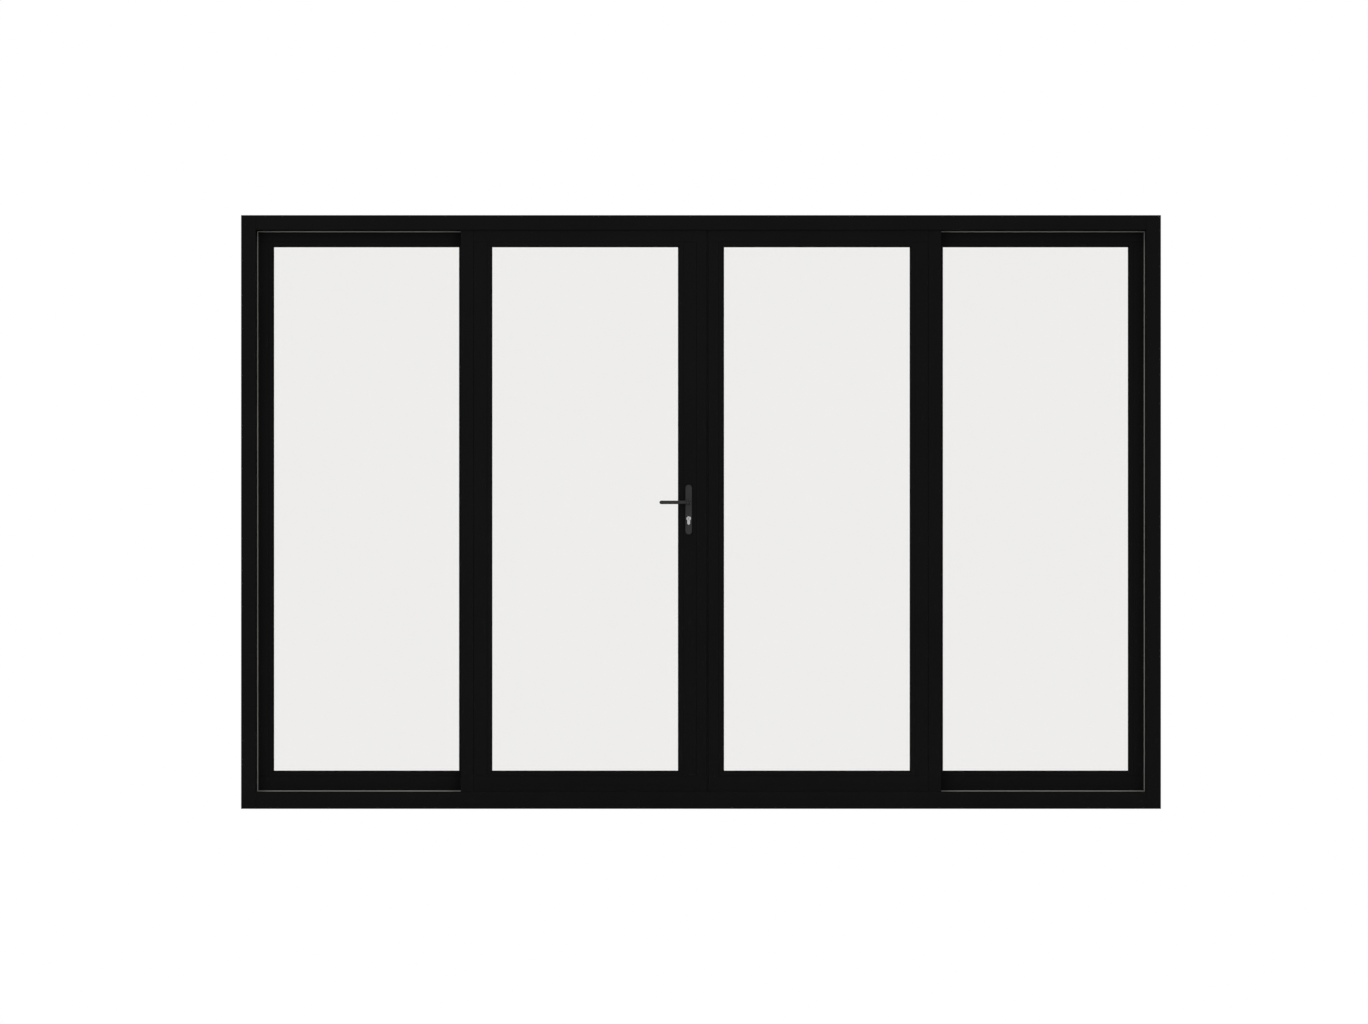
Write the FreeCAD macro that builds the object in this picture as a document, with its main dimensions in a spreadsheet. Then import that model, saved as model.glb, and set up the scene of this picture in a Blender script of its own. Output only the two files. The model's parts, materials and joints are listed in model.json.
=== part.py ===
import FreeCAD, Part
import os
import math
import Sketcher

# Glass sliding patio door: a four-panel frame with two fixed outer panels and two sliding middle panels.
# Lengths in mm. X runs along the door, Y through its depth with the sliding panels at the front, Z up.
# The origin is the centre of the sill's underside.

os.makedirs("parts", exist_ok=True)
doc = FreeCAD.newDocument("PatioDoor")

# Sizes: every driving dimension of the door, written once
SIZES = {
    # outer frame
    "frame_width": "3300",
    "frame_height": "2130",
    "frame_base": "28",
    "frame_lip": "5",
    "lip_reach": "53",
    "block_face": "57.8",
    "sill_face": "62.3",
    "stop_reach": "12",
    "stop_depth": "10",
    "profile_wall": "2",
    "edge_break": "0.8",
    # tracks
    "run_gap": "5",
    "plane_gap": "20",
    "rail_height": "13",
    "rail_web": "4",
    "rail_foot": "16",
    "rail_foot_height": "2",
    "guide_rib": "8",
    "guide_drop": "15",
    "lever_clear": "12",
    "stop_block_length": "30",
    "stop_block_depth": "30",
    "stop_block_height": "30",
    # panels
    "sash_depth": "50",
    "seal_width": "3.6",
    "seal_depth": "8",
    "fixed_stile_face": "57.2",
    "stile_face": "67",
    "fixed_bottom_face": "71.5",
    "fixed_top_face": "54.1",
    "rebate": "19",
    "leg_depth": "4",
    "slider_ground_gap": "7",
    "slider_glass_extra": "2.5",
    "glass_reveal": "6.1",
    "channel_wall": "3",
    "roller_channel": "35",
    "guide_channel": "15",
    "shadow_height": "49",
    "shadow_width": "2",
    "shadow_depth": "1.5",
    # glazing
    "pane_thick": "4",
    "cavity": "16",
    "glass_cover": "13",
    "spacer_width": "11",
    "gasket_thick": "4",
    "gasket_lip": "3",
    "gasket_width": "9",
    "bead_slope": "3",
    # meeting line and interlocks
    "meeting_offset": "15.7",
    "astragal_edge": "20.8",
    "meeting_gap": "5",
    "astragal_wall": "3",
    "tongue_length": "15",
    "tongue_depth": "10",
    "groove_depth": "15",
    "groove_width": "20",
    "interlock_cover": "46.5",
    "hook_wall": "2.5",
    "hook_overlap": "5",
    "hook_gap": "10",
    "hook_base": "26",
    # rollers
    "wheel_radius": "12",
    "wheel_width": "7",
    "axle_radius": "3",
    "wheel_pitch": "44",
    "wheel_lift": "0.3",
    "roller_inset": "100",
    "carriage_length": "84",
    "carriage_cheek": "3",
    "carriage_gap": "1",
    # handle set
    "spindle_x": "44.1",
    "spindle_z": "1099.6",
    "plate_width": "23.6",
    "plate_above": "63.5",
    "plate_below": "115.5",
    "plate_thick": "8",
    "cylinder_drop": "58.3",
    "cylinder_radius": "7.3",
    "cylinder_tail": "4.3",
    "cylinder_tail_drop": "16.7",
    "cylinder_proud": "3",
    "fit_gap": "0.3",
    "neck_radius": "5.9",
    "neck_play": "1",
    "neck_length": "32",
    "lever_reach": "105",
    "lever_tip": "6.5",
    "lever_root": "6.1",
    "lever_thick": "10",
    "lever_round": "2.5",
    "plate_bevel": "1.5",
    "spindle_side": "8",
}

sheet = doc.addObject("Spreadsheet::Sheet", "Sizes")
for row, (name, value) in enumerate(SIZES.items(), start=1):
    sheet.set(f"A{row}", name)
    sheet.set(f"B{row}", value)
    sheet.setAlias(f"B{row}", name)
doc.recompute()


class Size:
    """A length that carries its sheet formula together with its present value."""

    def __init__(self, formula, value):
        self.formula = formula
        self.value = value

    def __add__(self, other):
        return Size(f"({self.formula} + {other.formula})", self.value + other.value)

    def __sub__(self, other):
        return Size(f"({self.formula} - {other.formula})", self.value - other.value)

    def __neg__(self):
        return Size(f"(-1 * {self.formula})", -self.value)

    def __mul__(self, factor):
        return Size(f"({self.formula} * {factor})", self.value * factor)

    def __truediv__(self, factor):
        return Size(f"({self.formula} / {factor})", self.value / factor)


class Sizes:
    """The sheet's named sizes as attributes."""

    def __init__(self):
        for name in SIZES:
            setattr(self, name, Size(f"Sizes.{name}", float(sheet.get(name))))


s = Sizes()
ZERO = Size("0", 0.0)

# Levels shared by several pieces
half_width = s.frame_width / 2
frame_depth = s.frame_lip + s.run_gap + s.sash_depth * 2 + s.plane_gap + s.stop_depth
frame_front = -(frame_depth / 2)
lip_back = frame_front + s.frame_lip
slider_front = lip_back + s.run_gap
slider_back = slider_front + s.sash_depth
fixed_front = slider_back + s.plane_gap
stop_front = fixed_front + s.sash_depth
frame_back = frame_depth / 2
track_y = slider_front + s.sash_depth / 2

fixed_edge = half_width - s.block_face - s.seal_width
fixed_foot = s.sill_face + s.seal_width
fixed_crown = s.frame_height - s.block_face - s.seal_width
glass_bottom = fixed_foot + s.fixed_bottom_face
glass_top = fixed_crown - s.fixed_top_face

slider_foot = s.frame_base + s.slider_ground_gap
slider_crown = s.frame_height - slider_foot
meeting_glass = s.meeting_offset + s.stile_face
fixed_glass = (
    fixed_edge
    - s.fixed_stile_face
    - meeting_glass
    - s.stile_face
    - s.interlock_cover
    - s.glass_reveal
    - s.slider_glass_extra
) / 2
slider_glass = fixed_glass + s.slider_glass_extra
slider_edge = meeting_glass + slider_glass + s.stile_face
leading_edge = slider_edge + s.interlock_cover
fixed_inner = leading_edge + s.glass_reveal - s.stile_face
right_meeting_edge = s.astragal_edge + s.meeting_gap
rail_top = s.frame_base + s.rail_height

# Levels of the glazing inside a panel, from the panel's front
unit_back = s.sash_depth - s.leg_depth - s.gasket_thick
unit_front = unit_back - s.pane_thick * 2 - s.cavity
bead_depth = unit_front - s.gasket_thick


def turned(side, length):
    """Return the length for the right-hand side, or its mirror for the left-hand side."""
    return length if side > 0 else -length


def rect(x0, y0, x1, y1):
    """Return the four corners of a rectangle."""
    return [(x0, y0), (x1, y0), (x1, y1), (x0, y1)]


def eased(loop, corners):
    """Return the loop with the listed corners cut by the edge break."""
    points = []
    for index, (x, y) in enumerate(loop):
        if index not in corners:
            points.append((x, y))
            continue
        for near in (loop[index - 1], loop[(index + 1) % len(loop)]):
            along_x = near[0].value - x.value
            along_y = near[1].value - y.value
            reach = math.hypot(along_x, along_y)
            step_x = s.edge_break * round(along_x / reach)
            step_y = s.edge_break * round(along_y / reach)
            points.append((x + step_x, y + step_y))
    return points


def mirrored(side, loop):
    """Return the loop with its first coordinate turned to the wanted side."""
    return [(turned(side, x), y) for x, y in loop]


def new_body(label):
    """Start a sub-part that carries the given label."""
    body = doc.addObject("PartDesign::Body", label)
    body.Label = label
    return body


def new_sketch(body, plane, offset):
    """Attach a sketch to one of the body's origin planes, moved along the plane's normal."""
    sketch = body.newObject("Sketcher::SketchObject", f"{body.Name}_section")
    support = [feature for feature in body.Origin.OriginFeatures if feature.Role == plane][0]
    sketch.AttachmentSupport = [(support, "")]
    sketch.MapMode = "FlatFace"
    sketch.setExpression("AttachmentOffset.Base.z", offset.formula)
    return sketch


def pin_point(sketch, geometry, point, x, y):
    """Hold one sketch point at two sheet-driven distances from the sketch origin."""
    for kind, size in (("DistanceX", x), ("DistanceY", y)):
        rule = sketch.addConstraint(Sketcher.Constraint(kind, -1, 1, geometry, point, size.value))
        sketch.setExpression(f"Constraints[{rule}]", size.formula)


def draw_loop(sketch, loop):
    """Draw one closed loop of straight lines."""
    first = sketch.GeometryCount
    corners = [FreeCAD.Vector(x.value, y.value, 0) for x, y in loop]
    lines = [Part.LineSegment(a, b) for a, b in zip(corners, corners[1:] + corners[:1])]
    sketch.addGeometry(lines, False)
    count = len(loop)
    joints = [
        Sketcher.Constraint("Coincident", first + i, 2, first + (i + 1) % count, 1) for i in range(count)
    ]
    sketch.addConstraint(joints)
    for i, (x, y) in enumerate(loop):
        pin_point(sketch, first + i, 1, x, y)


def draw_circle(sketch, x, y, radius):
    """Draw one circle."""
    circle = Part.Circle(FreeCAD.Vector(x.value, y.value, 0), FreeCAD.Vector(0, 0, 1), radius.value)
    index = sketch.addGeometry(circle, False)
    rule = sketch.addConstraint(Sketcher.Constraint("Radius", index, radius.value))
    sketch.setExpression(f"Constraints[{rule}]", radius.formula)
    pin_point(sketch, index, 3, x, y)


def draw_link(sketch, x0, y0, r0, x1, y1, r1):
    """Draw a bar with two round ends of their own radii, joined by tangent lines."""
    first = sketch.GeometryCount
    up = FreeCAD.Vector(0, 0, 1)
    a = FreeCAD.Vector(x0.value, y0.value, 0)
    b = FreeCAD.Vector(x1.value, y1.value, 0)
    along = (b - a).normalize()
    side = FreeCAD.Vector(-along.y, along.x, 0)
    turn = math.atan2(along.y, along.x)
    quarter = math.pi / 2
    start_round = Part.Circle(a, up, r0.value)
    end_round = Part.Circle(b, up, r1.value)
    pieces = [
        Part.LineSegment(b + side * r1.value, a + side * r0.value),
        Part.ArcOfCircle(start_round, turn + quarter, turn + 3 * quarter),
        Part.LineSegment(a - side * r0.value, b - side * r1.value),
        Part.ArcOfCircle(end_round, turn - quarter, turn + quarter),
    ]
    sketch.addGeometry(pieces, False)
    for i in range(4):
        sketch.addConstraint(Sketcher.Constraint("Tangent", first + i, 2, first + (i + 1) % 4, 1))
    for index, x, y, radius in ((first + 1, x0, y0, r0), (first + 3, x1, y1, r1)):
        rule = sketch.addConstraint(Sketcher.Constraint("Radius", index, radius.value))
        sketch.setExpression(f"Constraints[{rule}]", radius.formula)
        pin_point(sketch, index, 3, x, y)


def feature(body, kind, sketch, length):
    """Pad or pocket a sketch along its normal."""
    made = body.newObject(f"PartDesign::{kind}", f"{body.Name}_{kind.lower()}")
    made.Profile = sketch
    made.setExpression("Length", length.formula)
    sketch.Visibility = False
    return made


def bar(body, plane, loops, start, end):
    """Extrude straight-sided loops between two levels along X, Y or Z."""
    offset = -end if plane == "XZ_Plane" else start
    sketch = new_sketch(body, plane, offset)
    for loop in loops:
        draw_loop(sketch, loop)
    return feature(body, "Pad", sketch, end - start)


def round_bar(body, plane, circles, start, end):
    """Extrude circles between two levels along X, Y or Z."""
    offset = -end if plane == "XZ_Plane" else start
    sketch = new_sketch(body, plane, offset)
    for x, y, radius in circles:
        draw_circle(sketch, x, y, radius)
    return feature(body, "Pad", sketch, end - start)


def link_bar(body, ends, start, end):
    """Extrude a round-ended bar along Y."""
    sketch = new_sketch(body, "XZ_Plane", -end)
    draw_link(sketch, *ends)
    return feature(body, "Pad", sketch, end - start)


def cut_through(body, draw, start, end):
    """Pocket a drawn shape along Y between two levels."""
    sketch = new_sketch(body, "XZ_Plane", -start)
    draw(sketch)
    doc.recompute()
    before = body.Shape.Volume
    pocket = feature(body, "Pocket", sketch, end - start)
    doc.recompute()
    if body.Shape.Volume >= before:
        pocket.Reversed = True
        doc.recompute()
    return pocket


def edges_where(body, test):
    """List the names of the body's edges whose ends all pass a test."""
    doc.recompute()
    names = []
    for number, edge in enumerate(body.Shape.Edges, start=1):
        if all(test(vertex.Point) for vertex in edge.Vertexes):
            names.append(f"Edge{number}")
    return names


def dress_edges(body, kind, names, size):
    """Round or chamfer the named edges of the body."""
    dressed = body.Tip
    made = body.newObject(f"PartDesign::{kind}", f"{body.Name}_{kind.lower()}")
    made.Base = (dressed, names)
    made.setExpression("Radius" if kind == "Fillet" else "Size", size.formula)
    return made


def is_near(value, size):
    """Tell whether a coordinate lies on a level."""
    return abs(value - size.value) < s.fit_gap.value / 2


def place(item, x, y, z):
    """Bind the position of a sub-part to the sheet."""
    for axis, size in (("x", x), ("y", y), ("z", z)):
        item.setExpression(f"Placement.Base.{axis}", size.formula)


def gather(label, items):
    """Keep like pieces together as the separate solids of one sub-part."""
    group = doc.addObject("Part::Compound", label)
    group.Label = label
    group.Links = items
    return group


nodes = []


def keep(item):
    """List a finished sub-part for export."""
    nodes.append(item)
    return item


# Outer frame: jambs run the full height, head and sill are coped between them
def build_jamb(label, side):
    """Build one jamb: lip at the front, track base, block beside the fixed panel and stop behind it."""
    body = new_body(label)
    wall = s.profile_wall
    outline = [
        (ZERO, frame_front),
        (s.lip_reach, frame_front),
        (s.lip_reach, lip_back),
        (s.frame_base, lip_back),
        (s.frame_base, fixed_front),
        (s.block_face, fixed_front),
        (s.block_face, stop_front),
        (s.block_face + s.stop_reach, stop_front),
        (s.block_face + s.stop_reach, frame_back),
        (ZERO, frame_back),
    ]
    loops = [
        eased(outline, (0, 1, 5, 8, 9)),
        rect(wall, frame_front + wall, s.frame_base - wall, slider_back - wall / 2),
        rect(wall, slider_back + wall / 2, s.frame_base - wall, frame_back - wall),
        rect(s.frame_base, fixed_front + wall, s.block_face - wall, stop_front - wall),
    ]
    bar(body, "XY_Plane", [mirrored(-side, loop) for loop in loops], ZERO, s.frame_height)
    place(body, turned(side, half_width), ZERO, ZERO)
    return keep(body)


class Crossbar:
    """Head or sill: a track, a lip in front of it and a seat with a stop for the fixed panels behind it."""

    def __init__(self, name, up, level, lip_height, seat_height):
        """Keep the name, the direction away from the opening's edge, the edge's level and two heights."""
        self.name = name
        self.up = up
        self.level = level
        self.lip_height = lip_height
        self.seat_height = seat_height

    def member(self, body, loops, reach):
        """Extrude loops of depth and height along the door between two jamb faces."""
        turned_loops = [[(y, turned(self.up, z)) for y, z in loop] for loop in loops]
        bar(body, "YZ_Plane", turned_loops, -(half_width - reach), half_width - reach)
        place(body, ZERO, ZERO, self.level)
        return body

    def build_track(self):
        """Build the hollow base that the sliding panels run over."""
        wall = s.profile_wall
        middle = (lip_back + fixed_front) / 2
        loops = [
            rect(lip_back, ZERO, fixed_front, s.frame_base),
            rect(lip_back + wall, wall, middle - wall / 2, s.frame_base - wall),
            rect(middle + wall / 2, wall, fixed_front - wall, s.frame_base - wall),
        ]
        return keep(self.member(new_body(self.name), loops, s.frame_base))

    def build_lip(self):
        """Build the strip that covers the track from the front."""
        loop = eased(rect(frame_front, ZERO, lip_back, self.lip_height), (0, 2, 3))
        return self.member(new_body(f"{self.name}_lip"), [loop], s.lip_reach)

    def build_seat(self):
        """Build the hollow block beside the fixed panels, with the stop behind them."""
        wall = s.profile_wall
        body = new_body(f"{self.name}_seat")
        block = [
            eased(rect(fixed_front, ZERO, stop_front, self.seat_height), (3,)),
            rect(fixed_front + wall, wall, stop_front - wall, s.frame_base - wall),
            rect(fixed_front + wall, s.frame_base, stop_front - wall, self.seat_height - wall),
        ]
        self.member(body, block, s.block_face)
        stop = rect(stop_front, ZERO, frame_back, self.seat_height + s.stop_reach)
        return self.member(body, [eased(stop, (1, 2))], s.block_face + s.stop_reach)

    def build_guide(self, label):
        """Build the rib that the sliding panels' top rails run round."""
        half = s.guide_rib / 2
        rib = rect(track_y - half, s.frame_base, track_y + half, s.frame_base + s.guide_drop)
        return keep(self.member(new_body(label), [rib], s.frame_base))


build_jamb("left_jamb", -1)
build_jamb("right_jamb", 1)
sill = Crossbar("sill", 1, ZERO, s.sill_face, s.sill_face)
head = Crossbar("head", -1, s.frame_height, s.lip_reach, s.block_face)
for crossbar in (sill, head):
    crossbar.build_track()
keep(gather("front_lips", [sill.build_lip(), head.build_lip()]))
keep(gather("fixed_panel_seats", [sill.build_seat(), head.build_seat()]))
head.build_guide("head_guide")

# A panel opens until the rear lever stands just short of the fixed panel
slide_travel = fixed_inner - s.spindle_x - s.lever_reach - s.lever_clear
rail_end = leading_edge + slide_travel


# Running rail: a rail on a foot, laid along the sill as far as a panel slides
def build_running_rail():
    """Build the rail that the wheels run on."""
    rail = new_body("running_rail")
    half_foot = s.rail_foot / 2
    half_web = s.rail_web / 2
    section = [
        (-half_foot, ZERO),
        (half_foot, ZERO),
        (half_foot, s.rail_foot_height),
        (half_web, s.rail_foot_height),
        (half_web, s.rail_height),
        (-half_web, s.rail_height),
        (-half_web, s.rail_foot_height),
        (-half_foot, s.rail_foot_height),
    ]
    bar(rail, "YZ_Plane", [eased(section, (4, 5))], -rail_end, rail_end)
    place(rail, ZERO, track_y, s.frame_base)
    keep(rail)


# Track stops: one buffer block at each end of the track
def build_track_stop(label, side):
    """Build the buffer that a sliding panel runs up to."""
    block = new_body(label)
    half_block = s.stop_block_depth / 2
    outline = rect(ZERO, -half_block, turned(side, s.stop_block_length), half_block)
    bar(block, "XY_Plane", [eased(outline, (0, 1, 2, 3))], ZERO, s.stop_block_height)
    place(block, turned(side, rail_end + s.run_gap), track_y, s.frame_base)
    return block


build_running_rail()
keep(gather("track_stops", [build_track_stop("left_stop", -1), build_track_stop("right_stop", 1)]))


class Panel:
    """One glazed panel.

    It is drawn from its outer lower front corner, with its first axis towards the door's middle.
    """

    def __init__(self, name, side, edge, front, foot, width, height, faces, sliding):
        self.name = name
        self.side = side
        self.edge = edge
        self.front = front
        self.foot = foot
        self.width = width
        self.height = height
        self.outer_face, self.inner_face, self.bottom_face, self.top_face = faces
        self.sliding = sliding

    def put(self, body):
        """Place a piece drawn in panel coordinates."""
        place(body, turned(self.side, self.edge), self.front, self.foot)
        return body

    def along(self, body, loops, near, far):
        """Extrude loops of depth and height along the door between two distances from the outer edge."""
        start = -far if self.side > 0 else near
        bar(body, "YZ_Plane", loops, start, start + (far - near))

    def upright(self, body, loops, low, high):
        """Extrude loops of reach and depth upwards."""
        bar(body, "XY_Plane", [mirrored(-self.side, loop) for loop in loops], low, high)

    def flat(self, body, loops, front, back):
        """Extrude loops of reach and height through the depth."""
        bar(body, "XZ_Plane", [mirrored(-self.side, loop) for loop in loops], front, back)

    def glass_frame(self, margin):
        """Return the visible glass rectangle grown by a margin."""
        return rect(
            self.outer_face - margin,
            self.bottom_face - margin,
            self.width - self.inner_face + margin,
            self.height - self.top_face + margin,
        )

    def build_rail(self, label, low, grooved):
        """Build the top or the bottom rail, which ends at the groove where the panel has one."""
        body = new_body(label)
        wall = s.profile_wall
        face = self.bottom_face if low else self.top_face
        box = face - s.rebate
        depth = s.sash_depth

        def level(height):
            """Measure a height from the rail's outer edge."""
            return height if low else self.height - height

        def section(loop):
            """Turn a loop over for the top rail."""
            return [(y, level(z)) for y, z in loop]

        if self.sliding:
            channel = s.roller_channel if low else s.guide_channel
            cheek = s.channel_wall
            outline = [
                (ZERO, ZERO),
                (cheek, ZERO),
                (cheek, channel),
                (depth - cheek, channel),
                (depth - cheek, ZERO),
                (depth, ZERO),
                (depth, box),
                (ZERO, box),
            ]
            if low:
                outline = outline + [
                    (ZERO, s.shadow_height + s.shadow_width),
                    (s.shadow_depth, s.shadow_height + s.shadow_width),
                    (s.shadow_depth, s.shadow_height),
                    (ZERO, s.shadow_height),
                ]
            chamber = rect(wall, channel + wall, depth - wall, box - wall)
            loops = [section(eased(outline, (7,))), section(chamber)]
        else:
            outline = rect(ZERO, ZERO, depth, box)
            loops = [section(eased(outline, (0, 3))), section(rect(wall, wall, depth - wall, box - wall))]
        self.along(body, loops, ZERO, self.width - s.groove_depth if grooved else self.width)
        leg = rect(depth - s.leg_depth, box, depth, face - s.gasket_lip)
        outer_box = self.outer_face - s.rebate
        inner_box = self.inner_face - s.rebate
        self.along(body, [section(leg)], outer_box, self.width - inner_box)
        return keep(self.put(body))

    def build_stile(self, label, outer, grooved):
        """Build an upright between the two rails, which starts behind the groove where the panel has one."""
        body = new_body(label)
        wall = s.profile_wall
        face = self.outer_face if outer else self.inner_face
        box = face - s.rebate
        depth = s.sash_depth
        middle = depth / 2

        def reach(loop):
            """Measure a loop from the stile's own edge."""
            return loop if outer else [(self.width - x, y) for x, y in loop]

        web = wall / 2
        start = s.groove_depth if grooved else ZERO
        broken = (1,) if grooved else (0, 1)
        loops = [
            reach(eased(rect(start, ZERO, box, depth), broken)),
            reach(rect(start + wall, wall, box - wall, middle - web)),
            reach(rect(start + wall, middle + web, box - wall, depth - wall)),
        ]
        low_box = self.bottom_face - s.rebate
        high_box = self.height - self.top_face + s.rebate
        self.upright(body, loops, low_box, high_box)
        leg = reach(rect(box, depth - s.leg_depth, face - s.gasket_lip, depth))
        low = self.bottom_face - s.gasket_lip
        high = self.height - self.top_face + s.gasket_lip
        self.upright(body, [leg], low, high)
        return keep(self.put(body))

    def build_cheeks(self, label):
        """Build the two hollow cheeks that stand on either side of the groove in the meeting edge."""
        wall = s.profile_wall
        margin = s.sash_depth / 2 - s.groove_width / 2
        cheeks = []
        for name, near, corner in (("front", ZERO, 0), ("rear", s.sash_depth - margin, 3)):
            body = new_body(f"{label}_{name}")
            outline = eased(rect(ZERO, near, s.groove_depth, near + margin), (corner,))
            chamber = rect(wall, near + wall, s.groove_depth - wall, near + margin - wall)
            loops = [[(self.width - x, y) for x, y in loop] for loop in (outline, chamber)]
            self.upright(body, loops, ZERO, self.height)
            cheeks.append(self.put(body))
        return keep(gather(label, cheeks))

    def build_beads(self, label):
        """Build the four glazing beads, mitred at the corners and sloped towards the glass."""
        gap = s.fit_gap
        outer = self.glass_frame(s.rebate)
        inner = self.glass_frame(s.gasket_lip)
        (low_x, low_z), (high_x, high_z) = outer[0], outer[2]
        (near_x, near_z), (far_x, far_z) = inner[0], inner[2]
        low_cut, near_cut = low_z + gap, near_z + gap
        high_cut, far_cut = high_z - gap, far_z - gap
        near_upright = [(low_x, low_cut), (near_x, near_cut), (near_x, far_cut), (low_x, high_cut)]
        far_upright = [(high_x, low_cut), (high_x, high_cut), (far_x, far_cut), (far_x, near_cut)]
        bars = (
            ("x", near_x, near_upright),
            ("x", far_x, far_upright),
            ("z", near_z, [(low_x, low_z), (high_x, low_z), (far_x, near_z), (near_x, near_z)]),
            ("z", far_z, [(low_x, high_z), (near_x, far_z), (far_x, far_z), (high_x, high_z)]),
        )
        beads = []
        for axis, level, loop in bars:
            body = new_body(f"{label}_bar")
            self.flat(body, [loop], ZERO, bead_depth)
            line = turned(-self.side, level) if axis == "x" else level

            def at_glass(point):
                """Tell whether a corner lies on the bead's front edge beside the glass."""
                return is_near(point.y, ZERO) and is_near(getattr(point, axis), line)

            dress_edges(body, "Chamfer", edges_where(body, at_glass), s.bead_slope)
            beads.append(self.put(body))
        return beads

    def build_gaskets(self, label):
        """Build the front and rear gasket rings."""
        rings = []
        for near in (bead_depth, unit_back):
            body = new_body(f"{label}_ring")
            loops = [self.glass_frame(s.gasket_width), self.glass_frame(ZERO)]
            self.flat(body, loops, near, near + s.gasket_thick)
            rings.append(self.put(body))
        return rings

    def build_glass(self, label):
        """Build the two panes of the glass unit."""
        panes = []
        for near in (unit_front, unit_back - s.pane_thick):
            body = new_body(f"{label}_pane")
            self.flat(body, [self.glass_frame(s.glass_cover)], near, near + s.pane_thick)
            panes.append(self.put(body))
        return keep(gather(label, panes))

    def build_spacer(self, label):
        """Build the spacer ring between the panes."""
        body = new_body(label)
        near = unit_front + s.pane_thick
        loops = [self.glass_frame(s.glass_cover), self.glass_frame(s.glass_cover - s.spacer_width)]
        self.flat(body, loops, near, near + s.cavity)
        return self.put(body)


# Fixed panels
fixed_panels = []
for side, name in ((-1, "left"), (1, "right")):
    panel = Panel(
        f"{name}_fixed",
        side,
        fixed_edge,
        fixed_front,
        fixed_foot,
        fixed_edge - fixed_inner,
        fixed_crown - fixed_foot,
        (s.fixed_stile_face, s.stile_face, s.fixed_bottom_face, s.fixed_top_face),
        False,
    )
    panel.build_rail(f"{panel.name}_bottom_rail", True, False)
    panel.build_rail(f"{panel.name}_top_rail", False, False)
    panel.build_stile(f"{panel.name}_jamb_stile", True, False)
    panel.build_stile(f"{panel.name}_interlock_stile", False, False)
    panel.build_glass(f"{panel.name}_glass")
    fixed_panels.append(panel)
keep(gather("fixed_beads", [bead for p in fixed_panels for bead in p.build_beads(f"{p.name}_bead")]))
keep(gather("fixed_spacers", [p.build_spacer(f"{p.name}_spacer") for p in fixed_panels]))
keep(gather("fixed_gaskets", [ring for p in fixed_panels for ring in p.build_gaskets(f"{p.name}_gasket")]))


# Perimeter seals: a bead of sealant round three sides of each fixed panel
def build_seal(panel):
    """Build the seal line along the foot, jamb side and crown of a fixed panel."""
    seal = new_body(f"{panel.name}_seal")
    grown = s.seal_width
    outline = [
        (-grown, -grown),
        (panel.width, -grown),
        (panel.width, ZERO),
        (ZERO, ZERO),
        (ZERO, panel.height),
        (panel.width, panel.height),
        (panel.width, panel.height + grown),
        (-grown, panel.height + grown),
    ]
    panel.flat(seal, [outline], ZERO, s.seal_depth)
    return panel.put(seal)


# Fixed interlocks: a hook on the front of each fixed interlock stile
def build_fixed_hook(panel):
    """Build the hook, with distances from the panel's inner edge towards its jamb."""
    hook = new_body(f"{panel.name}_hook")
    wall = s.hook_wall
    front = -(s.plane_gap / 2 + s.run_gap)
    slider_lip_end = leading_edge - fixed_inner - wall - s.hook_gap - s.hook_overlap
    fixed_lip_end = slider_lip_end + s.hook_overlap
    root = slider_lip_end - s.hook_gap - wall
    outline = [
        (root + wall - s.hook_base, -wall),
        (root, -wall),
        (root, front),
        (fixed_lip_end, front),
        (fixed_lip_end, front + wall),
        (root + wall, front + wall),
        (root + wall, ZERO),
        (root + wall - s.hook_base, ZERO),
    ]
    panel.upright(hook, [[(panel.width - x, y) for x, y in outline]], ZERO, panel.height)
    return panel.put(hook)


keep(gather("perimeter_seals", [build_seal(panel) for panel in fixed_panels]))
keep(gather("fixed_interlocks", [build_fixed_hook(panel) for panel in fixed_panels]))

# Sliding panels
slider_panels = []
for side, name, meeting_edge in ((-1, "left", s.meeting_offset), (1, "right", right_meeting_edge)):
    panel = Panel(
        f"{name}_slider",
        side,
        slider_edge,
        slider_front,
        slider_foot,
        slider_edge - meeting_edge,
        slider_crown - slider_foot,
        (s.stile_face, meeting_glass - meeting_edge, glass_bottom - slider_foot, slider_crown - glass_top),
        True,
    )
    panel.build_rail(f"{panel.name}_bottom_rail", True, side > 0)
    panel.build_rail(f"{panel.name}_top_rail", False, side > 0)
    panel.build_stile(f"{panel.name}_interlock_stile", True, False)
    if side > 0:
        panel.build_stile(f"{panel.name}_meeting_stile", False, True)
        panel.build_cheeks(f"{panel.name}_groove_cheeks")
    panel.build_glass(f"{panel.name}_glass")
    keep(gather(f"{panel.name}_beads", panel.build_beads(f"{panel.name}_bead")))
    keep(panel.build_spacer(f"{panel.name}_spacer"))
    keep(gather(f"{panel.name}_gaskets", panel.build_gaskets(f"{panel.name}_gasket")))
    slider_panels.append(panel)

# Covers and astragal stand clear of the rail below and of the guide rib above
low_cover = rail_top + s.run_gap - slider_foot
high_cover = s.frame_height - s.frame_base - s.guide_drop - s.run_gap - slider_foot


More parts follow.
